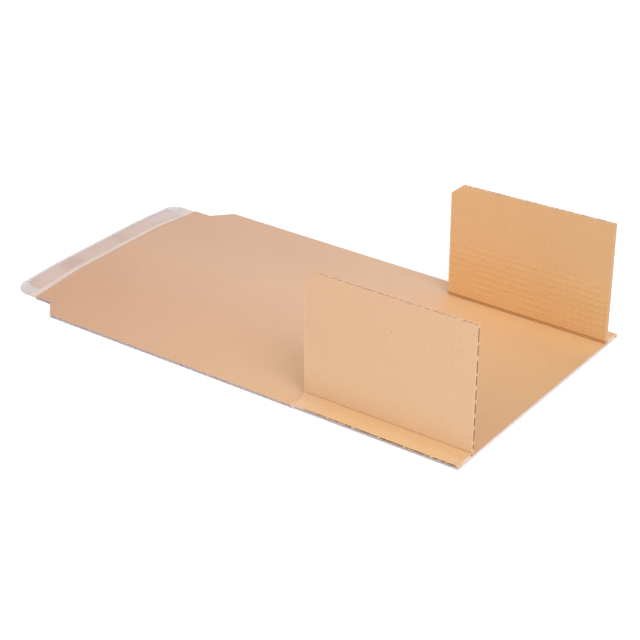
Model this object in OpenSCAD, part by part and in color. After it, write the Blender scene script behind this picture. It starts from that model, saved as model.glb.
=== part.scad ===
// Wrap-around corrugated mailer, lying open: one long board with doubled
// edge strips, two side flaps that stand at the strips, and a self-seal tape.
// X runs along the board, with the flap end at +X and the tape at -X.
// Y runs across the board. Z is up, and the underside lies on Z = 0.

/* [Corrugated board] */
// Thickness of the whole board
board_t = 2.4; // [2:0.1:4]
// Thickness of each outer liner
liner_t = 0.36; // [0.3:0.02:0.5]
// Upright thickness of the fluted paper between the liners
medium_t = 0.3; // [0.2:0.02:0.45]
// Distance from one flute crest to the next
flute_pitch = 6; // [4.5:0.1:9]
// How far a flute crest is pressed into its liner where they are glued
crest_press = 0.06; // [0.03:0.01:0.12]
// Flat facets along one flute
flute_facets = 6; // [4:2:12]

/* [Wrap panel] */
// Width of the board across Y
panel_w = 256; // [256:1:420]
// Length from the flap end to the shoulders
panel_l = 405.4; // [300:0.1:700]
// How far each shoulder slants along X
shoulder_run = 15.5; // [5:0.5:40]
// How far the tongue stands in from each long edge
tongue_inset = 17.4; // [8:0.1:50]
// Length of the tongue past the shoulders
tongue_l = 17.1; // [14:0.1:50]

/* [Edge strips] */
// Length of the flaps and of the folded strips that carry them
strip_l = 153.4; // [100:0.1:260]
// Width of each strip, from the long edge to the flap's crease
strip_w = 19.3; // [18:0.1:19.6]
// How far the strip's inner end is cut back at the long edge
strip_setback = 4; // [1:0.5:20]
// Height of the pressed fold at the long edge
fold_h = 3.8; // [3:0.1:4]
// Width of the band that slopes down to the pressed fold
press_run = 8; // [6:0.5:8.5]
// Thickness of the glue line under each strip
glue_t = 0.2; // [0.1:0.05:0.4]
// Margin of the glue line from the strip's ends and its crease
glue_margin = 6; // [5:0.5:8]
// Length of one perforation cut along the folded edge
slit_l = 21.4; // [6:0.1:30]
// Uncut bridge between two perforation cuts
slit_bridge = 2; // [1:0.25:6]
// Height of a perforation cut
slit_h = 0.8; // [0.4:0.1:1]
// Thickness of the pressed paper round the hollow fold
fold_wall = 1.1; // [0.9:0.05:1.2]

/* [Side flaps] */
// Height of each flap above its crease, at the end of the board
flap_h = 108.4; // [62:0.1:108.4]
// How much lower the near flap is at its inner end
near_drop = 0.5; // [0:0.1:6]
// How much lower the far flap is at its inner end
far_drop = 4; // [0:0.1:6]
// Length along X of the cut corner at each flap's top
flap_corner_x = 11; // [2:0.5:40]
// Height of the near flap's cut corner
near_corner_z = 13.8; // [2:0.1:40]
// Height of the far flap's cut corner
far_corner_z = 9; // [2:0.1:40]
// Lean of the near flap away from the book space, in degrees
near_lean = 1.3; // [0:0.1:4]
// Lean of the far flap towards the book space, in degrees
far_lean = 1.6; // [0:0.1:4]
// Gap that lets a crease turn freely
crease_gap = 0.1; // [0.05:0.05:0.2]
// Height of the pressed band above a crease
crease_band = 2.5; // [1.5:0.5:6]

/* [Height score lines] */
// Number of score lines that let the flap fold at the height of a book
score_count = 8; // [1:1:8]
// Height of the lowest score line above the crease
score_first = 9; // [5:0.5:12]
// Distance between score lines
score_pitch = 5.8; // [3:0.1:6.5]
// Width of one score line
score_w = 2.2; // [1:0.1:2.8]
// Depth of one score line
score_d = 0.22; // [0.1:0.02:0.26]

/* [Seal tape] */
// Length of the tape that stands out past the tongue
tape_out = 27.5; // [24:0.5:60]
// Length of the tape that is stuck under the tongue
tape_under = 12; // [6:0.5:13]
// How much longer the tape is than the tongue's width, at each end
tape_past = 0.5; // [0:0.1:5]
// How far the tape sits off centre, towards the far edge
tape_shift = 2; // [0:0.5:4]
// Thickness of the carrier film
tape_t = 0.2; // [0.1:0.02:0.24]
// Radius of the tape's outer corners
tape_corner_r = 14; // [5:1:20]
// How far the tape's outer edge curls up off the table
tape_rise = 2; // [0:0.25:6]
// Length of tape past the tongue that lies flat before it curls
tape_flat = 6; // [2:0.5:12]
// Number of straight steps along the curl
tape_stations = 8; // [4:1:16]
// Width of the release liner along X
liner_strip_w = 14; // [10:0.5:18]
// Gap between the tape's outer edge and the release liner
liner_strip_edge = 4.5; // [2:0.5:8]
// How far the release liner's ends stand in from the tape's ends
liner_strip_end = 14; // [2:0.5:30]
// Thickness of the release liner
liner_strip_t = 0.16; // [0.08:0.02:0.3]
// Radius of the release liner's corners
liner_strip_r = 4; // [1:0.5:5]

/* [Hidden] */
$fn = 64;

// Length of a cutting shape past the face that it cuts
over = 1;

// Plan of the board: the whole object is centred on X = 0 and Y = 0
total_l = panel_l + shoulder_run + tongue_l + tape_out;
right_x = total_l / 2;
shoulder_x = right_x - panel_l;
neck_x = shoulder_x - shoulder_run;
tongue_x = neck_x - tongue_l;
strip_x = right_x - strip_l;
strip_edge_x = strip_x + strip_setback;
half_w = panel_w / 2;
tongue_half_w = half_w - tongue_inset;

// Flute wave: the fluted paper swings about the middle of the board
cell_h = board_t / 2 - liner_t - medium_t / 2;
wave_a = cell_h + crest_press;
void_w = flute_pitch * acos(-cell_h / wave_a) / 180;

// Fold of the edge strips: both layers are pressed down to one round edge
strip_z = board_t + glue_t;
strip_top = strip_z + board_t;
fold_r = fold_h / 2;
fold_y = half_w - fold_r;
press_y = half_w - press_run;
tunnel_r = fold_r - fold_wall;
// Share of the round edge's radius at which the flat sides pass its axis, so
// that they cross the round edge and don't only touch it
fold_meet = 0.96;
slit_z = fold_r + tunnel_r - slit_h / 2;
slit_pitch = slit_l + slit_bridge;
slit_count = floor((right_x - strip_edge_x) / slit_pitch);

// Crease of a flap: it turns about the inner top edge of its strip
crease_y = half_w - strip_w;
crease_z = strip_top + crease_gap;
foot_r = board_t;
foot_in = liner_t + 2 * crease_gap;

// Tape
tape_half_w = tongue_half_w + tape_past;
tape_x = tongue_x - tape_out;
tape_end_x = tongue_x + tape_under;

kraft = [0.85, 0.69, 0.53];
kraft_flap = [0.88, 0.71, 0.54];
film = [0.88, 0.85, 0.84];
beige = [0.80, 0.70, 0.65];

// One hollow of the corrugated board, seen along the flute and centred on the
// middle of the board: a flat side at one liner, and a dip of the wave
// opposite. side is 1 for the upper liner and -1 for the lower one.
module flute_void(side) {
    roof = board_t / 2 - liner_t;
    polygon([for (i = [0:flute_facets])
        let (x = void_w * (i / flute_facets - 0.5))
        let (at_roof = i == 0 || i == flute_facets)
        [x, side * (at_roof ? roof : medium_t / 2 - wave_a * cos(360 * x / flute_pitch))]]);
}

// Side of hollow number i, counted from the flap end at half a pitch each
function void_side(i) = i % 2 == 0 ? 1 : -1;

// Hollows of a flat layer whose underside is at z, from y0 to y1
module layer_flute(i, z, y0, y1) {
    translate([right_x - i * flute_pitch / 2, y1, z + board_t / 2])
        rotate([90, 0, 0])
            linear_extrude(y1 - y0)
                flute_void(void_side(i));
}

// Plan of the wrap panel, with room for the two folded edges
module panel_plan() {
    polygon([
        [right_x, -fold_y],
        [right_x, fold_y],
        [strip_edge_x, fold_y],
        [strip_edge_x, half_w],
        [shoulder_x, half_w],
        [neck_x, tongue_half_w],
        [tongue_x, tongue_half_w],
        [tongue_x, -tongue_half_w],
        [neck_x, -tongue_half_w],
        [shoulder_x, -half_w],
        [strip_edge_x, -half_w],
        [strip_edge_x, -fold_y]
    ]);
}

// Hollows of the wrap panel: open at the cut long edges, and closed by the
// fold where a strip is turned back over the panel
module panel_flutes() {
    for (i = [0:floor(2 * (right_x - tongue_x) / flute_pitch)]) {
        open_end = right_x - i * flute_pitch / 2 < strip_edge_x - void_w / 2 - over / 2;
        y = open_end ? half_w + over : press_y;
        layer_flute(i, 0, -y, y);
    }
}

// Cylinder along X from x0 to x1
module rod(x0, x1, r) {
    translate([x0, 0, 0])
        rotate([0, 90, 0])
            cylinder(h = x1 - x0, r = r);
}

// Where the line from height z at the pressed band's inner side ends in a
// round edge of radius r, above or below the fold's axis
function fold_point(r, z, side) =
    let (inward = fold_y - press_y)
    let (reach = r * fold_meet)
    let (turn = atan2(z - fold_r, inward) + side * acos(reach / norm([inward, z - fold_r])))
    [-fold_y + reach * cos(turn), fold_r + reach * sin(turn)];

// Round edge of radius r that widens inwards to the heights low and high: the
// pressed fold, and the hollow inside it
module fold_body(x0, x1, r, low, high) {
    translate([0, -fold_y, fold_r])
        rod(x0, x1, r);
    translate([x0, 0, 0])
        rotate([90, 0, 90])
            linear_extrude(x1 - x0)
                polygon([
                    [-press_y, low],
                    [-press_y, high],
                    fold_point(r, high, 1),
                    fold_point(r, low, -1)
                ]);
}

// Edge strip of the near side: turned back over the panel in one pressed fold,
// slanted at its inner end and glued down
module folded_strip() {
    fold_body(strip_edge_x, right_x, fold_r, 0, strip_top);
    translate([0, 0, strip_z])
        linear_extrude(board_t)
            polygon([
                [strip_edge_x, -press_y],
                [right_x, -press_y],
                [right_x, -crease_y - crease_gap],
                [strip_x, -crease_y - crease_gap]
            ]);
    translate([strip_edge_x + glue_margin, -press_y, board_t])
        cube([right_x - strip_edge_x - 2 * glue_margin, press_y - crease_y - glue_margin, glue_t]);
}

// What is cut from the near strip: the hollow inside the fold, the perforation
// cuts that open it, and the hollow where the flap's foot turns
module strip_cuts() {
    fold_body(strip_edge_x - over, right_x + over, tunnel_r, board_t, strip_z);
    for (i = [0:slit_count - 1])
        translate([right_x - slit_bridge - slit_l - i * slit_pitch, -half_w - over, slit_z])
            cube([slit_l, fold_r + over, slit_h]);
    intersection() {
        translate([0, -crease_y, crease_z])
            rod(strip_x - over, right_x + over, foot_r + crease_gap);
        translate([strip_x - 2 * over, -crease_y - 2 * foot_r, board_t])
            cube([strip_l + 4 * over, 4 * foot_r, strip_top - liner_t - board_t]);
    }
}

// Hollows of the near strip, which the glue press leaves open at its slanted end
module strip_flutes() {
    for (i = [0:floor(2 * strip_l / flute_pitch)])
        if (right_x - i * flute_pitch / 2 < strip_edge_x + void_w / 2)
            layer_flute(i, strip_z, -press_y, -crease_y);
}

module board() {
    color(kraft)
        difference() {
            union() {
                linear_extrude(board_t)
                    panel_plan();
                folded_strip();
                mirror([0, 1, 0])
                    folded_strip();
            }
            panel_flutes();
            for (m = [0, 1])
                mirror([0, m, 0]) {
                    strip_cuts();
                    strip_flutes();
                }
            translate([tongue_x - over, -half_w, -over])
                cube([tape_under + over, panel_w, tape_t + over]);
        }
}

// Flap in its own place: the crease on the X axis, the outer face on Y = 0 and
// the inner face, which takes the score lines, at Y = board_t
module flap(drop, corner_z) {
    inner_h = flap_h - drop;
    difference() {
        union() {
            translate([0, board_t, 0])
                rotate([90, 0, 0])
                    linear_extrude(board_t)
                        polygon([
                            [strip_x, 0],
                            [right_x, 0],
                            [right_x, flap_h],
                            [strip_x + flap_corner_x, inner_h + drop * flap_corner_x / strip_l],
                            [strip_x, inner_h - corner_z]
                        ]);
            intersection() {
                rod(strip_x, right_x, foot_r);
                translate([strip_x - over, foot_in, -foot_r])
                    cube([strip_l + 2 * over, foot_r, foot_r + over]);
            }
        }
        for (i = [0:floor(2 * strip_l / flute_pitch)])
            translate([right_x - i * flute_pitch / 2, board_t / 2, crease_band])
                linear_extrude(flap_h)
                    flute_void(void_side(i));
        score_r = (score_w * score_w / 4 + score_d * score_d) / (2 * score_d);
        for (i = [0:score_count - 1])
            translate([0, board_t + score_r - score_d, score_first + i * score_pitch])
                rod(strip_x - over, right_x + over, score_r);
    }
}

module near_flap() {
    color(kraft_flap)
        translate([0, -crease_y, crease_z])
            rotate([near_lean, 0, 0])
                flap(near_drop, near_corner_z);
}

module far_flap() {
    color(kraft_flap)
        translate([0, crease_y, crease_z])
            rotate([far_lean, 0, 0])
                mirror([0, 1, 0])
                    flap(far_drop, far_corner_z);
}

// Height of the tape's underside at x: flat at the tongue, then a slow curl
function tape_z(x) = x > tongue_x - tape_flat ? 0
    : tape_rise * pow((tongue_x - tape_flat - x) / (tape_out - tape_flat), 2);

// A film layer that follows the curl, at height z above it and of thickness t
module curled_film(z, t) {
    curl_x = [for (i = [0:tape_stations])
        tongue_x - tape_flat - i * (tape_out - tape_flat) / tape_stations];
    xs = concat([tape_end_x], curl_x);
    n = len(xs) - 1;
    translate([0, half_w, 0])
        rotate([90, 0, 0])
            linear_extrude(panel_w)
                polygon(concat(
                    [for (i = [0:n]) [xs[i], tape_z(xs[i]) + z]],
                    [for (i = [n:-1:0]) [xs[i], tape_z(xs[i]) + z + t]]
                ));
}

// Upright block from x0 to x1, round the tape's middle line and of half width
// y, with two round corners at x0
module rounded_end(x0, x1, y, r) {
    h = tape_rise + 2 * over;
    translate([0, tape_shift, -over]) {
        translate([x0 + r, -y, 0])
            cube([x1 - x0 - r, 2 * y, h]);
        translate([x0, r - y, 0])
            cube([2 * r, 2 * (y - r), h]);
        for (side = [-1, 1])
            translate([x0 + r, side * (y - r), 0])
                cylinder(h = h, r = r);
    }
}

module seal_tape() {
    color(film)
        intersection() {
            curled_film(0, tape_t);
            rounded_end(tape_x, tape_end_x, tape_half_w, tape_corner_r);
        }
}

module release_liner() {
    x0 = tape_x + liner_strip_edge;
    x1 = x0 + liner_strip_w;
    y = tape_half_w - liner_strip_end;
    color(beige)
        intersection() {
            curled_film(tape_t, liner_strip_t);
            rounded_end(x0, x1, y, liner_strip_r);
            mirror([1, 0, 0])
                rounded_end(-x1, -x0, y, liner_strip_r);
        }
}

board();
near_flap();
far_flap();
seal_tape();
release_liner();
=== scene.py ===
import math

import bmesh
import bpy
import numpy as np
from mathutils import Matrix, Vector


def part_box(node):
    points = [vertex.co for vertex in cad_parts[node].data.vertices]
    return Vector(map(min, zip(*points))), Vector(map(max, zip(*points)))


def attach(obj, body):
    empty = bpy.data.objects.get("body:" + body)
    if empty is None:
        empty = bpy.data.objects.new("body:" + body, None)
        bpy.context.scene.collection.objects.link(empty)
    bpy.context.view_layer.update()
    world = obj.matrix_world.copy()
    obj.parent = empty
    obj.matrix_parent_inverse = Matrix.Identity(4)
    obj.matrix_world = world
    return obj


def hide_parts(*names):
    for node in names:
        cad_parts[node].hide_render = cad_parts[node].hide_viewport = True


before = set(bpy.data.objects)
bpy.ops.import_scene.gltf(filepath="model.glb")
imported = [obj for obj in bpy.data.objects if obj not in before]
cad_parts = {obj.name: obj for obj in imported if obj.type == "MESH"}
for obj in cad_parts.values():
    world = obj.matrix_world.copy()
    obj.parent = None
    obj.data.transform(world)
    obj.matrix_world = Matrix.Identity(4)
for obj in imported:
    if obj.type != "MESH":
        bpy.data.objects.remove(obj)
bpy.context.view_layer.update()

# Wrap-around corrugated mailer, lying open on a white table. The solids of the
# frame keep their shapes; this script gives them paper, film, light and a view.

MM = 0.001
TURN = 2 * math.pi

# The corrugated board, and half the height of the hollows between its liners
BOARD_T = 2.4 * MM
FLUTE_PITCH = 6 * MM
HALF_HOLLOW = 0.86 * MM

# Ends and edges of the panel, the strips, the tape and its liner
TONGUE_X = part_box("board")[0].x
RIGHT_X, HALF_WIDTH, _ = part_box("board")[1]
STRIP_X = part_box("near_flap")[0].x
STRIP_EDGE_X = STRIP_X + 4 * MM
TAPE_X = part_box("seal_tape")[0].x
LINER_LOW, LINER_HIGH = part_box("release_liner")

# Heights just under the strips and in their middle, the crease on each strip that
# its flap turns about, and the round fold that joins a strip to the panel
STRIP_FOOT_Z = 2.5 * MM
STRIP_MIDDLE_Z = 3.8 * MM
CREASE_Y = 108.7 * MM
CREASE_Z = 5.1 * MM
STRIP_HOLLOW_Y = CREASE_Y - 2 * MM
FOLD_R = 1.9 * MM
FOLD_AXIS_Y = HALF_WIDTH - FOLD_R
FOLD_SKIN_T = 0.1 * MM
FOLD_START_Y = 120.1 * MM

# The perforation's slits: how far inwards of the fold's axis they show, and their end
SLIT_IN = 0.9 * MM
SLIT_END_X = RIGHT_X - 0.6 * MM

# On a flap, above its crease: where the cut edge and its hollows start, and where the
# painted shade of the crease line is darkest; along the board: the middle, and where the
# right end starts
FLAP_CUT_Z = 0.4 * MM
FLAP_HOLLOW_Z = 2.6 * MM
CREASE_LINE_Z = -0.1 * MM
FLAP_MIDDLE_X = (RIGHT_X + STRIP_X) / 2
FLAP_END_X = RIGHT_X - 2.2 * MM

# The long panel isn't quite flat: it arches across its width, the more so the
# further it is from the strips. Between them it stays under the folded-in flaps.
# The arch is full to ARCH_FLAT_Y on both sides and has sunk to nothing at ARCH_FOOT_Y.
END_RISE = 0.5 * MM
ARCH_RISE = 4.7 * MM
ARCH_POWER = 1.3
ARCH_FLAT_Y = 45 * MM
ARCH_FOOT_Y = 118 * MM
ARCH_START_X = STRIP_X - 4 * MM
TAPE_DROOP = 2.4 * MM

# The mesh that bends: how many planes cut it along and across the board, how near two
# points or a point and a plane are when they count as one, and the least angle at an
# edge that stays sharp
ARCH_CUTS_ALONG = 9
ARCH_CUTS_ACROSS = 10
MERGE_GAP = 0.001 * MM
CUT_GAP = 0.0001 * MM
SHARP_ANGLE = math.radians(28)

# Score lines across the inner face of a flap, measured up from the crease. They
# darken red, green and blue by different shares, and their grooves are painted lighter,
# painted light against the shade that falls in them.
SCORE_FIRST = 9 * MM
SCORE_PITCH = 5.8 * MM
SCORE_TINT = (0.6, 1.1, 1.5)
GROOVE_LIGHT = 0.07

# How far noise shifts a wave, in radians: the flutes that show through the paper,
# the score lines, which also bend over each flute, and the wave at a flap's end
FLUTE_WANDER = 5.0
SCORE_WAVER = 5.0
SCORE_BEND = 0.8
END_DRIFT = 7.0

# How far the paper's formation, fibres and clouds change its brightness
FORMATION_SHADE = 0.06
FIBRE_SHADE = 0.07
CLOUD_SHADE = 0.07

# How far along an axis a surface's normal points on a face, and on a cut edge
FACE = 0.75
CUT = 0.5

# Marks painted on the surfaces, several of them painted light and shade: the place or
# distance at which each starts, and that at which it is full. GROOVE_DEPTH is measured
# from the middle of the board's thickness, FLAP_RIM from FLAP_MIDDLE_X, and CREASE_LINE
# from CREASE_LINE_Z.
FAR_HALF_Y = (-90 * MM, 50 * MM)
FOOT_GLOW_X = (STRIP_X - 4 * MM, STRIP_X + 14 * MM)
FOOT_GLOW_Y = (62 * MM, 104 * MM)
TONGUE_RIM_X = (TONGUE_X + 4 * MM, TONGUE_X + 2 * MM)
FOLD_BAND_Z = (2.7 * MM, 2.0 * MM)
FOLD_WEAR_X = (120 * MM, 200 * MM)
TORN_X = (160 * MM, 80 * MM)
SCORES_ABOVE = (3 * MM, SCORE_FIRST)
SCORES_BELOW = (54 * MM, 49 * MM)
GROOVE_DEPTH = (1.18 * MM, 1.08 * MM)
FLAP_RIM = (75.2 * MM, 76.2 * MM)
UNDER_CREASE = (-0.1 * MM, -0.4 * MM)
CREASE_LINE = (0.7 * MM, 0.35 * MM)
FILM_NEAR_Y = (20 * MM, -100 * MM)
FILM_FAR_Y = (70 * MM, 112 * MM)
GLINT_X = (TONGUE_X - 10.4 * MM, TONGUE_X - 6.8 * MM)
STICKY_X = (TAPE_X + 1.6 * MM, TAPE_X + 3.4 * MM)
STICKY_NEAR_Y = (LINER_LOW.y - 1 * MM, LINER_LOW.y + 4 * MM)
STICKY_FAR_Y = (LINER_HIGH.y + 1 * MM, LINER_HIGH.y - 4 * MM)
LINER_FAR_Y = (30 * MM, 100 * MM)

# The film: what its ends gain in brightness, its alpha, and what is added to that by
# the haze, and by the adhesive or the glint
FILM_NEAR_LIGHT = 0.07
FILM_FAR_LIGHT = 0.16
FILM_ALPHA = 0.58
HAZE_ALPHA = 0.3
ADHESIVE_ALPHA = 0.3

# The table: its half size, how far it lies under the board, and its glow for the
# camera, which grows from the first value to the second between two distances
TABLE_HALF = 6.0
TABLE_DROP = 0.15 * MM
TABLE_GLOW = (0.33, 0.95)
TABLE_GLOW_AT = (0.8, 2.2)


def srgb(red, green, blue):
    """Scene colour of a screen colour given from 0 to 255."""
    levels = [channel / 255 for channel in (red, green, blue)]
    return tuple(c / 12.92 if c <= 0.04045 else ((c + 0.055) / 1.055) ** 2.4 for c in levels)


# Kraft along the near and the far half of the panel, from the tongue to the right end.
# The far half is paler and pinker, a painted sheen, and between the flaps lighter,
# painted light reflected from the far flap; the near half is darker there, a painted
# shadow of the near flap.
PANEL_PLACES = (-0.205, -0.080, 0.060, 0.120, 0.232)
PANEL_NEAR_WITH_SHADOW = (
    srgb(214, 169, 138),
    srgb(222, 178, 145),
    srgb(226, 184, 146),
    srgb(223, 178, 140),
    srgb(212, 170, 131),
)
PANEL_FAR_WITH_SHEEN_AND_BOUNCE = (
    srgb(219, 180, 153),
    srgb(224, 185, 158),
    srgb(231, 192, 161),
    srgb(231, 187, 144),
    srgb(217, 173, 127),
)
TONGUE_RIM = srgb(207, 174, 154)
# Painted glow of light reflected from the far flap, by its foot on the panel
PAINTED_FOOT_GLOW = srgb(237, 196, 142)

# Kraft along a strip
STRIP_PLACES = (0.080, 0.120, 0.232)
STRIP = (srgb(231, 194, 158), srgb(233, 193, 144), srgb(232, 192, 146))

# Kraft up a flap, from its crease
FLAP_PLACES = (0.0, 0.026, 0.056, 0.108)
OUTER_LOW = srgb(234, 194, 154)
OUTER_HIGH = srgb(233, 190, 152)
INNER_LOW = srgb(231, 185, 129)
INNER_HIGH = srgb(234, 190, 142)
# Painted shade along the crease, where a flap meets its strip
CREASE_SHADE_BROWN = srgb(176, 118, 62)

# Cut edges, folds and specks of the board. The lilac edge and fold colours are painted
# shade; the white edge, pale hollow and strip end colours are painted light against the
# shade in them.
KRAFT_SPECK = srgb(168, 124, 88)
EDGE_SHADE_LILAC = srgb(204, 184, 184)
EDGE_LIT_WHITE = srgb(253, 247, 246)
HOLLOW_LIT_PALE = srgb(238, 224, 226)
STRIP_END_LIT = srgb(246, 218, 190)
FOLD_SHADE_LILAC = srgb(190, 174, 180)
FOLD_WORN = srgb(206, 160, 128)
SLIT_BROWN = srgb(160, 118, 86)
TORN_PALE = srgb(240, 208, 178)

# Film, adhesive and release liner
FILM_PALE = srgb(224, 212, 210)
FILM_GREY = srgb(213, 200, 197)
FILM_GLINT = srgb(244, 217, 204)
ADHESIVE_BEIGE = srgb(209, 184, 174)
LINER_LIGHT = srgb(217, 191, 177)
LINER_DARK = srgb(206, 177, 167)
LINER_FAR = srgb(219, 203, 199)
LINER_RIM_LIT = srgb(250, 232, 222)

KRAFT_FINISH = {"Roughness": 0.8, "Specular_IOR_Level": 0.25}


class Value:
    """A number, colour or vector of a material; operators on it add Math nodes."""

    def __init__(self, paint, socket):
        self.paint = paint
        self.socket = socket

    def math(self, operation, *others):
        return self.paint.node("ShaderNodeMath", {"operation": operation}, [self, *others])

    def __add__(self, other):
        return self.math("ADD", other)

    __radd__ = __add__

    def __sub__(self, other):
        return self.math("SUBTRACT", other)

    def __rsub__(self, other):
        return self.paint.node("ShaderNodeMath", {"operation": "SUBTRACT"}, [other, self])

    def __mul__(self, other):
        return self.math("MULTIPLY", other)

    __rmul__ = __mul__

    def __gt__(self, other):
        return self.math("GREATER_THAN", other)

    def __lt__(self, other):
        return self.math("LESS_THAN", other)

    def __pow__(self, other):
        return self.math("POWER", other)

    def absolute(self):
        return self.math("ABSOLUTE")

    def sine(self):
        return self.math("SINE")

    def largest(self, other):
        return self.math("MAXIMUM", other)


class Paint:
    """The node tree of one material, ended by a Principled shader, or of the world."""

    def __init__(self, name, made_in=None):
        self.material = (bpy.data.materials if made_in is None else made_in).new(name)
        self.material.use_nodes = True
        self.tree = self.material.node_tree
        self.tree.nodes.clear()

    def node(self, kind, settings=None, inputs=(), output=0):
        """Adds a node. Settings are set first, then its sockets, given by order or by name."""
        made = self.tree.nodes.new(kind)
        for key, value in (settings or {}).items():
            if key == "stops":
                self.set_ramp(made.color_ramp, value)
            else:
                setattr(made, key, value)
        pairs = inputs.items() if isinstance(inputs, dict) else enumerate(inputs)
        for key, value in pairs:
            if isinstance(value, Value):
                self.tree.links.new(value.socket, made.inputs[key])
            else:
                made.inputs[key].default_value = value
        return Value(self, made.outputs[output])

    def set_ramp(self, ramp, stops):
        """Colour ramp from (share, colour) pairs."""
        while len(ramp.elements) < len(stops):
            ramp.elements.new(1.0)
        for element, (share, colour) in zip(ramp.elements, stops):
            element.position = share
            element.color = (*colour, 1.0)

    def place(self):
        """Object coordinates of the surface, in metres."""
        return self.node("ShaderNodeTexCoord", output=3)

    def facing(self):
        """Surface normal in the piece's own axes."""
        return self.node("ShaderNodeTexCoord", output=1)

    def axes(self, vector):
        """The three numbers of a vector."""
        made = self.tree.nodes.new("ShaderNodeSeparateXYZ")
        self.tree.links.new(vector.socket, made.inputs[0])
        return [Value(self, socket) for socket in made.outputs]

    def noise(self, vector, scale, detail=2.0, roughness=0.5):
        """Cloudy noise between 0 and 1; scale is in cells per metre."""
        inputs = {"Vector": vector, "Scale": scale, "Detail": detail, "Roughness": roughness}
        return self.node("ShaderNodeTexNoise", inputs=inputs)

    def streaks(self, vector, cells, detail=2.0, roughness=0.5):
        """Noise with its own number of cells per metre along each axis."""
        stretched = self.node("ShaderNodeVectorMath", {"operation": "MULTIPLY"}, [vector, cells])
        return self.noise(stretched, 1.0, detail, roughness)

    def between(self, value, low, high, start=0.0, end=1.0, linear=False):
        """Step of value from low to high onto start to end, smooth unless linear."""
        return self.node(
            "ShaderNodeMapRange",
            {"interpolation_type": "LINEAR" if linear else "SMOOTHSTEP"},
            {"Value": value, "From Min": low, "From Max": high, "To Min": start, "To Max": end},
        )

    def ramp(self, value, places, tones):
        """Colour that follows value from tone to tone, each of which has its place."""
        low, high = places[0], places[-1]
        share = self.between(value, low, high, linear=True)
        stops = [((place - low) / (high - low), tone) for place, tone in zip(places, tones)]
        return self.node("ShaderNodeValToRGB", {"stops": stops}, [share])

    def mixed(self, share, first, second, blend="MIX"):
        """Colour that goes from first to second by share."""
        made = self.tree.nodes.new("ShaderNodeMix")
        made.data_type = "RGBA"
        made.blend_type = blend
        sockets = {0: share, 6: first, 7: second}
        for index, value in sockets.items():
            if isinstance(value, Value):
                self.tree.links.new(value.socket, made.inputs[index])
            elif index == 0:
                made.inputs[index].default_value = value
            else:
                made.inputs[index].default_value = (*value, 1.0)
        return Value(self, made.outputs[2])

    def combined(self, red, green, blue):
        """Colour of three numbers."""
        return self.node("ShaderNodeCombineColor", inputs=[red, green, blue])

    def tinted(self, tone, red, green, blue):
        """Colour whose red, green and blue are each multiplied by a number."""
        return self.mixed(1.0, tone, self.combined(red, green, blue), "MULTIPLY")

    def shaded(self, tone, brightness):
        """Colour multiplied by one number."""
        return self.tinted(tone, brightness, brightness, brightness)

    def bump(self, height, distance, strength):
        """Normal from a height between 0 and 1 that stands for distance metres."""
        inputs = {"Height": height, "Distance": distance, "Strength": strength}
        return self.node("ShaderNodeBump", inputs=inputs)

    def arch(self, x, y):
        """How far the arched panel is raised at x, y: arch_rise as shader maths."""
        along = self.between(x, ARCH_START_X, TONGUE_X, linear=True) ** ARCH_POWER
        droop = self.between(x, TONGUE_X, TAPE_X, 0.0, TAPE_DROOP, linear=True)
        across = self.between(y.absolute(), ARCH_FLAT_Y, ARCH_FOOT_Y, 1.0, 0.0)
        return (along * (ARCH_RISE - END_RISE) + END_RISE - droop) * across

    def seen(self):
        """1 on the rays that show the surroundings to the camera, else 0."""
        names = ("Is Camera Ray", "Is Glossy Ray", "Is Transmission Ray")
        rays = [self.node("ShaderNodeLightPath", output=name) for name in names]
        return rays[0].largest(rays[1]).largest(rays[2])

    def finish(self, **sockets):
        """Principled shader on the material's output; names use _ for a space."""
        shader = self.tree.nodes.new("ShaderNodeBsdfPrincipled")
        for name, value in sockets.items():
            socket = shader.inputs[name.replace("_", " ")]
            if isinstance(value, Value):
                self.tree.links.new(value.socket, socket)
            elif socket.type == "RGBA":
                socket.default_value = (*value, 1.0)
            else:
                socket.default_value = value
        output = self.tree.nodes.new("ShaderNodeOutputMaterial")
        self.tree.links.new(shader.outputs[0], output.inputs[0])
        return self.material


def eased(value, low, high):
    """0 below low, 1 above high, and a smooth cubic step between them."""
    share = np.clip((value - low) / (high - low), 0, 1)
    return share * share * (3 - 2 * share)


def arch_rise(x, y):
    """Height by which the panel is raised at x, y. It is small between the strips,
    grows as a power of the way from there to the tongue, sinks again over the
    tape, and is full in the middle of the width and eased to nothing near the long
    edges."""
    along = np.clip((ARCH_START_X - x) / (ARCH_START_X - TONGUE_X), 0, 1) ** ARCH_POWER
    droop = TAPE_DROOP * np.clip((TONGUE_X - x) / (TONGUE_X - TAPE_X), 0, 1)
    across = 1 - eased(np.abs(y), ARCH_FLAT_Y, ARCH_FOOT_Y)
    return (along * (ARCH_RISE - END_RISE) + END_RISE - droop) * across


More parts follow.
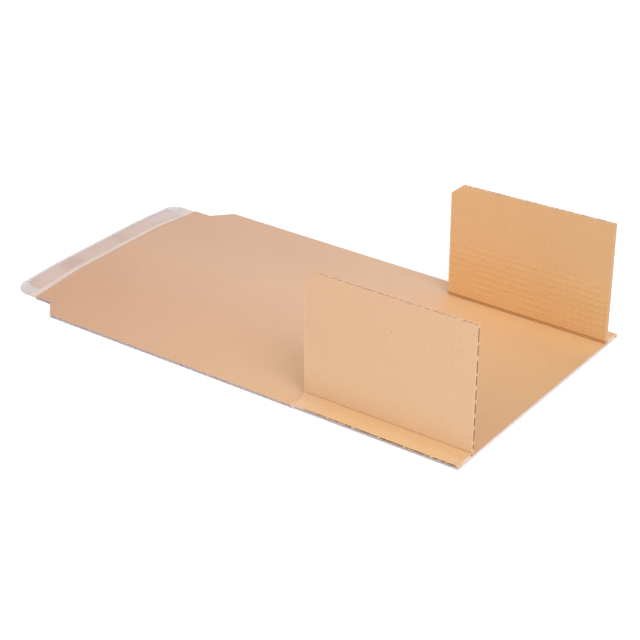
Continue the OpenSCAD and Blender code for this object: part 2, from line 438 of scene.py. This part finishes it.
def arched(node, name, material):
    """Piece that stands for a flat node of the frame: a merged copy of its mesh, cut
    by planes across X and Y so that it can bend, and raised by arch_rise."""
    work = bmesh.new()
    work.from_mesh(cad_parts[node].data)
    bmesh.ops.remove_doubles(work, verts=work.verts[:], dist=MERGE_GAP)
    far_cuts = np.linspace(ARCH_FLAT_Y, ARCH_FOOT_Y, ARCH_CUTS_ACROSS)
    cuts = [((0, y, 0), (0, 1, 0)) for y in np.concatenate([-far_cuts, far_cuts])]
    along_cuts = np.linspace(TONGUE_X, ARCH_START_X, ARCH_CUTS_ALONG)
    cuts += [((x, 0, 0), (1, 0, 0)) for x in along_cuts]
    for place, normal in cuts:
        geometry = [*work.verts, *work.edges, *work.faces]
        bmesh.ops.bisect_plane(work, geom=geometry, dist=CUT_GAP, plane_co=place, plane_no=normal)
    bmesh.ops.triangulate(work, faces=work.faces[:])
    mesh = bpy.data.meshes.new(name)
    work.to_mesh(mesh)
    work.free()
    points = np.empty(len(mesh.vertices) * 3, dtype=np.float32)
    mesh.vertices.foreach_get("co", points)
    points = points.reshape(-1, 3)
    points[:, 2] += arch_rise(points[:, 0], points[:, 1])
    mesh.vertices.foreach_set("co", points.ravel())
    mesh.shade_smooth()
    mesh.set_sharp_from_angle(angle=SHARP_ANGLE)
    mesh.update()
    mesh.materials.append(material)
    piece = bpy.data.objects.new(name, mesh)
    bpy.context.scene.collection.objects.link(piece)
    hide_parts(node)
    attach(piece, "mailer_board")
    return piece


def paper(paint, place, fibre_cells, flute_show):
    """Grain of uncoated liner: cloudy formation, fibres, and flutes that show
    through in patches, by flute_show. Returns a brightness near 1, a height for
    bump, and the wave of the flutes between 0 and 1."""
    x = paint.axes(place)[0]
    formation = paint.noise(place, 260.0, detail=3.0, roughness=0.6)
    fibres = paint.streaks(place, fibre_cells, roughness=0.6)
    clouds = paint.noise(place, 16.0, detail=3.0, roughness=0.55)
    wander = paint.noise(place, 55.0)
    flutes = (x * (TURN / FLUTE_PITCH) + wander * FLUTE_WANDER).sine() * 0.5 + 0.5
    patches = paint.between(paint.streaks(place, (45.0, 14.0, 14.0)), 0.5, 0.75)
    shade = (
        1.0
        + (formation - 0.5) * FORMATION_SHADE
        + (fibres - 0.5) * FIBRE_SHADE
        + (clouds - 0.5) * CLOUD_SHADE
        + (flutes - 0.5) * patches * flute_show
    )
    height = formation * 0.4 + fibres * 0.4 + flutes * patches * 0.2
    return shade, height, flutes


def specked(paint, place, tone):
    """Sparse dark specks in the pulp."""
    specks = paint.between(paint.noise(place, 420.0, detail=0.0), 0.84, 0.89)
    return paint.mixed(specks * 0.4, tone, KRAFT_SPECK)


def kraft_of_board():
    """Wrap panel and strips: kraft that goes from a cooler tan at the tongue to a
    warmer one between the flaps. Its far half is paler, a painted sheen, and between
    the flaps lighter, painted light reflected from the far flap, with a painted glow
    by that flap's foot; its near half is darker there, a painted shadow of the near
    flap. Cut edges are lilac, painted shade; their hollows are painted pale, the right
    end white and the strips' cut faces light, all painted light against the shade in
    them. Folds are lilac below, painted shade, and worn; the perforation's slits are
    brown, or pale where the paper tore."""
    paint = Paint("kraft_of_board")
    place = paint.place()
    x, y, z = paint.axes(place)
    side = y.absolute()
    facing_x, _, facing_z = [part.absolute() for part in paint.axes(paint.facing())]
    shade, height, _ = paper(paint, place, (900.0, 220.0, 900.0), 0.025)

    # Painted light and shade: the far half carries a painted sheen and reflected light, the near
    # half a painted shadow of the near flap
    near_half_with_shadow = paint.ramp(x, PANEL_PLACES, PANEL_NEAR_WITH_SHADOW)
    far_half_with_sheen_and_bounce = paint.ramp(x, PANEL_PLACES, PANEL_FAR_WITH_SHEEN_AND_BOUNCE)
    tone = paint.mixed(paint.between(y, *FAR_HALF_Y), near_half_with_shadow, far_half_with_sheen_and_bounce)
    # Painted glow: light reflected from the far flap, laid on the panel by its foot
    foot_glow = paint.between(y, *FOOT_GLOW_Y) * paint.between(x, *FOOT_GLOW_X)
    tone = paint.mixed(foot_glow * 0.75, tone, PAINTED_FOOT_GLOW)
    tone = paint.mixed(paint.between(x, *TONGUE_RIM_X) * 0.7, tone, TONGUE_RIM)
    on_strip = (side > CREASE_Y) * (x > STRIP_X)
    tone = paint.mixed(on_strip, tone, paint.ramp(x, STRIP_PLACES, STRIP))
    tone = specked(paint, place, paint.shaded(tone, shade))

    level = z - paint.arch(x, y)
    in_panel = (level - BOARD_T / 2).absolute() < HALF_HOLLOW
    in_strip = (level - STRIP_MIDDLE_Z).absolute() < HALF_HOLLOW
    in_strip = in_strip * (side > STRIP_HOLLOW_Y)
    in_fold = (side > FOLD_START_Y) * (x > STRIP_EDGE_X)
    hollow = in_panel.largest(in_strip) * (1.0 - in_fold)
    # Painted shade on the cut edges, and painted light in their hollows, on the right end and on
    # the strips' cut faces
    on_end = paint.between(facing_x, CUT, FACE) * (x > 0.0)
    cut = paint.between(facing_z, FACE, CUT) * (1.0 - in_fold * (1.0 - on_end))
    tone = paint.mixed(cut, tone, paint.mixed(on_end, EDGE_SHADE_LILAC, EDGE_LIT_WHITE))
    tone = paint.mixed(hollow, tone, paint.mixed(on_end, HOLLOW_LIT_PALE, EDGE_LIT_WHITE))
    tone = paint.mixed((level > STRIP_FOOT_Z) * cut.largest(hollow), tone, STRIP_END_LIT)

    out = side - FOLD_AXIS_Y
    up = level - FOLD_R
    skin = (out * out + up * up) ** 0.5 > FOLD_R - FOLD_SKIN_T
    # Painted shade: the lower skin of each fold is lilac, with real wear along part of it
    band = paint.between(level, *FOLD_BAND_Z) * skin * (out > 0.0) * in_fold
    worn = paint.between(paint.streaks(place, (240.0, 1.0, 900.0)), 0.5, 0.66)
    worn = worn * paint.between(x, *FOLD_WEAR_X)
    tone = paint.mixed(band, tone, paint.mixed(worn * 0.7, FOLD_SHADE_LILAC, FOLD_WORN))
    slit = in_fold * (1.0 - skin) * (out > -SLIT_IN) * (x < SLIT_END_X)
    tearing = paint.streaks(place, (340.0, 1.0, 1.0)) + paint.between(x, *TORN_X, 0.0, 0.16)
    torn = paint.between(tearing, 0.48, 0.58)
    tone = paint.mixed(slit, tone, paint.mixed(torn, SLIT_BROWN, TORN_PALE))

    normal = paint.bump(height, distance=0.05 * MM, strength=0.55)
    return paint.finish(Base_Color=tone, Normal=normal, **KRAFT_FINISH)


def kraft_of_flap(
    name, side, lean, edge, top_hollow, end_hollow, wave_tone, foot_tone,
    crease_share, score_share, flute_show, tongue_end_light, right_end_light,
):
    """Standing flap, warmer on its inner face. side is -1 for the near flap and 1
    for the far one, and lean its tilt in degrees. edge is the colour of its cut
    liners, also laid as a painted highlight just inside the flap's ends, top_hollow
    and end_hollow those of the hollows between them along the top and at the right
    end, wave_tone that of the fluted paper that crosses them, and foot_tone the
    colour under the crease. On the far flap top_hollow and foot_tone are painted
    light against the shade there, and on the near flap end_hollow is painted shade.
    crease_share is how dark the painted shade of the crease line is, score_share how
    strong the score lines are, which waver where they cross the flutes, flute_show
    how much the flutes show, and the two lights are the painted brightness at the
    flap's ends, which stands in for light that falls off along the flap."""
    paint = Paint(name)
    place = paint.place()
    x, y, z = paint.axes(place)
    facing_y = paint.axes(paint.facing())[1]
    shade, height, flutes = paper(paint, place, (900.0, 900.0, 200.0), flute_show)

    up = z - CREASE_Z
    inner = (facing_y * -side) > 0.5
    outer_tone = paint.ramp(up, FLAP_PLACES, (OUTER_LOW, OUTER_LOW, OUTER_HIGH, OUTER_HIGH))
    inner_tone = paint.ramp(up, FLAP_PLACES, (INNER_LOW, INNER_LOW, INNER_HIGH, INNER_HIGH))
    tone = paint.mixed(inner, outer_tone, inner_tone)
    # Painted light: a brightness that changes from the tongue end to the right end stands in for
    # light that falls off along the flap
    light = paint.between(x, STRIP_X, RIGHT_X, tongue_end_light, right_end_light, linear=True)
    tone = specked(paint, place, paint.shaded(tone, shade * light))
    # Painted highlight: a pale band of the edge colour just inside each end of the flap
    off_middle = (x - FLAP_MIDDLE_X).absolute()
    tone = paint.mixed(paint.between(off_middle, *FLAP_RIM) * 0.4, tone, edge)

    waver = paint.streaks(place, (75.0, 1.0, 30.0))
    phase = (up - SCORE_FIRST) * (TURN / SCORE_PITCH)
    lines = (phase + waver * SCORE_WAVER + flutes * SCORE_BEND).sine() * 0.5 + 0.5
    scored = paint.between(up, *SCORES_ABOVE) * paint.between(up, *SCORES_BELOW) * inner
    worn = paint.between(paint.streaks(place, (26.0, 1.0, 170.0)), 0.2, 0.65, 0.3, 1.0)
    score = (lines - 0.5) * scored * worn * score_share
    tilt = math.radians(lean)
    through = (y - side * CREASE_Y) * (-side * math.cos(tilt)) + up * (-side * math.sin(tilt))
    depth = (through - BOARD_T / 2).absolute()
    # Painted light in the grooves, against the shade that falls in them
    groove = paint.between(depth, *GROOVE_DEPTH) * scored * GROOVE_LIGHT
    red, green, blue = [1.0 - score * share + groove for share in SCORE_TINT]
    tone = paint.tinted(tone, red, green, blue)

    # The foot under the crease takes foot_tone, which on the far flap is painted light against
    # the shade at its foot
    tone = paint.mixed(paint.between(up, *UNDER_CREASE), tone, foot_tone)
    # Painted shade: a brown line at the crease, where the flap meets its strip
    crease = paint.between((up - CREASE_LINE_Z).absolute(), *CREASE_LINE)
    tone = paint.mixed(crease * crease_share, tone, CREASE_SHADE_BROWN)
    cut = paint.between(facing_y.absolute(), FACE, CUT) * (up > FLAP_CUT_Z)
    tone = paint.mixed(cut, tone, edge)

    on_end = x > FLAP_END_X
    top_wave = paint.between(paint.streaks(place, (300.0, 1.0, 1.0)), 0.48, 0.54)
    drift = paint.streaks(place, (1.0, 1.0, 60.0))
    end_wave = (up * (TURN / (2 * FLUTE_PITCH)) + drift * END_DRIFT).sine()
    end_wave = paint.between(end_wave, 0.62, 0.86)
    wave = top_wave * (1.0 - on_end) + end_wave * on_end
    # The hollows at the cut edges: on the far flap's top painted light against their shade, on
    # the near flap's end painted shade
    inside = paint.mixed(on_end, top_hollow, end_hollow)
    inside = paint.mixed(wave, inside, wave_tone)
    tone = paint.mixed((depth < HALF_HOLLOW) * (up > FLAP_HOLLOW_Z), tone, inside)

    height = height * 0.5 + lines * scored * 0.5
    normal = paint.bump(height, distance=0.10 * MM, strength=0.5)
    return paint.finish(Base_Color=tone, Normal=normal, **KRAFT_FINISH)


def carrier_film():
    """Clear film: hazy and pale, paler towards its ends, beige where its adhesive
    shows beside the liner, and bright with a painted glint in the narrow band next to the tongue."""
    paint = Paint("carrier_film")
    place = paint.place()
    x, y, _ = paint.axes(place)
    blotches = paint.between(paint.noise(place, 55.0, detail=3.0), 0.35, 0.7)
    tone = paint.mixed(blotches, FILM_PALE, FILM_GREY)
    near_end = paint.between(y, *FILM_NEAR_Y, 0.0, FILM_NEAR_LIGHT, linear=True)
    far_end = paint.between(y, *FILM_FAR_Y, 0.0, FILM_FAR_LIGHT)
    tone = paint.shaded(tone, 1.0 + near_end + far_end)
    sticky = paint.between(y, *STICKY_NEAR_Y) * paint.between(y, *STICKY_FAR_Y)
    sticky = sticky * paint.between(x, *STICKY_X)
    tone = paint.mixed(sticky * 0.8, tone, ADHESIVE_BEIGE)
    # Painted glint on the film next to the tongue
    glint = paint.between(x, *GLINT_X)
    tone = paint.mixed(glint, tone, FILM_GLINT)
    haze = paint.streaks(place, (60.0, 400.0, 60.0), detail=3.0)
    normal = paint.bump(haze, distance=0.05 * MM, strength=0.5)
    alpha = FILM_ALPHA + (haze - 0.5) * HAZE_ALPHA + sticky.largest(glint) * ADHESIVE_ALPHA
    return paint.finish(Base_Color=tone, Roughness=0.3, Alpha=alpha, Normal=normal)


def release_paper():
    """Siliconised release liner: blotchy pinkish beige, satin, paler towards its
    far end, and painted light along its cut rim against the shade there."""
    paint = Paint("release_paper")
    place = paint.place()
    _, y, _ = paint.axes(place)
    clouds = paint.between(paint.noise(place, 26.0, detail=3.0), 0.35, 0.65)
    tone = paint.mixed(clouds, LINER_LIGHT, LINER_DARK)
    tone = paint.mixed(paint.between(y, *LINER_FAR_Y) * 0.8, tone, LINER_FAR)
    facing_z = paint.axes(paint.facing())[2].absolute()
    # Painted light on the liner's cut rim
    tone = paint.mixed(paint.between(facing_z, FACE, CUT), tone, LINER_RIM_LIT)
    normal = paint.bump(paint.noise(place, 600.0), distance=0.02 * MM, strength=0.4)
    return paint.finish(Base_Color=tone, Roughness=0.45, Normal=normal)


def dress(node, material):
    """Gives one node of the frame its material."""
    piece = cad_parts[node]
    piece.data.materials.clear()
    piece.data.materials.append(material)


def floor():
    """White table: it keeps the shadow, and looks white to the camera, also far
    from the lamps."""
    corners = np.array([[-1, -1, 0], [1, -1, 0], [1, 1, 0], [-1, 1, 0]]) * TABLE_HALF
    corners = corners - (0, 0, TABLE_DROP)
    sheet = bpy.data.meshes.new("floor")
    sheet.from_pydata(corners.tolist(), [], [(0, 1, 2, 3)])
    piece = bpy.data.objects.new("floor", sheet)
    bpy.context.scene.collection.objects.link(piece)
    paint = Paint("white_table")
    x, y, _ = paint.axes(paint.place())
    from_middle = (x * x + y * y) ** 0.5
    glow = paint.seen() * paint.between(from_middle, *TABLE_GLOW_AT, *TABLE_GLOW)
    paint.finish(
        Base_Color=(0.88, 0.88, 0.89),
        Roughness=0.9,
        Specular_IOR_Level=0.0,
        Emission_Color=paint.combined(glow, glow, glow),
        Emission_Strength=1.0,
    )
    sheet.materials.append(paint.material)


def softbox(name, place, aim, size, watts):
    """Square area lamp at place that shines at aim."""
    data = bpy.data.lights.new(name, "AREA")
    data.size = size
    data.energy = watts
    lamp = bpy.data.objects.new(name, data)
    bpy.context.scene.collection.objects.link(lamp)
    lamp.location = place
    lamp.rotation_euler = (Vector(aim) - Vector(place)).to_track_quat("-Z", "Y").to_euler()


def studio():
    """Even white surroundings and three softboxes."""
    paint = Paint("studio", bpy.data.worlds)
    white = {"Color": (1.0, 1.0, 1.0, 1.0), "Strength": 0.5 + paint.seen() * 0.5}
    light = paint.node("ShaderNodeBackground", inputs=white)
    output = paint.tree.nodes.new("ShaderNodeOutputWorld")
    paint.tree.links.new(light.socket, output.inputs[0])
    bpy.context.scene.world = paint.material
    between_flaps = (0.05, 0.0, 0.0)
    middle = (0.0, 0.0, 0.0)
    softbox("right_softbox", (1.55, -0.89, 1.60), between_flaps, size=1.1, watts=19.0)
    softbox("front_softbox", (0.94, -1.62, 0.70), between_flaps, size=1.4, watts=6.0)
    softbox("top_softbox", (-0.2, 0.2, 2.2), middle, size=1.4, watts=12.0)


def photo_camera():
    """Camera at the photograph's place, aim, roll and angle."""
    place = Vector((0.78617, -1.10502, 0.7176))
    aim = Vector((0.01466, 0.00443, 0.0))
    roll = math.radians(0.84)
    data = bpy.data.cameras.new("photo_camera")
    data.lens = 101.2
    data.sensor_width = 36.0
    camera = bpy.data.objects.new("photo_camera", data)
    bpy.context.scene.collection.objects.link(camera)
    turn = (aim - place).to_track_quat("-Z", "Y").to_matrix().to_4x4()
    camera.matrix_world = Matrix.Translation(place) @ turn @ Matrix.Rotation(roll, 4, "Z")
    bpy.context.scene.camera = camera


photo_camera()
floor()
studio()
bpy.context.scene.view_settings.view_transform = "Standard"

arched("board", "arched_board", kraft_of_board())
arched("seal_tape", "arched_tape", carrier_film())
arched("release_liner", "arched_liner", release_paper())
dress("near_flap", kraft_of_flap(
    "kraft_of_near_flap",
    side=-1,
    lean=1.3,
    edge=srgb(240, 205, 174),
    top_hollow=srgb(234, 188, 146),
    # Painted shade in the near flap's end hollows
    end_hollow=srgb(188, 128, 76),
    wave_tone=srgb(250, 222, 196),
    foot_tone=srgb(234, 194, 154),
    crease_share=0.3,
    score_share=0.05,
    flute_show=0.012,
    tongue_end_light=1.0,
    right_end_light=0.995,
))
dress("far_flap", kraft_of_flap(
    "kraft_of_far_flap",
    side=1,
    lean=1.6,
    edge=srgb(243, 206, 168),
    # Painted light in the far flap's top hollows
    top_hollow=srgb(255, 228, 198),
    end_hollow=srgb(230, 184, 144),
    wave_tone=srgb(222, 184, 150),
    # Painted light under the far flap's crease
    foot_tone=srgb(246, 206, 152),
    crease_share=0.9,
    score_share=0.10,
    flute_show=0.045,
    tongue_end_light=1.10,
    right_end_light=0.945,
))
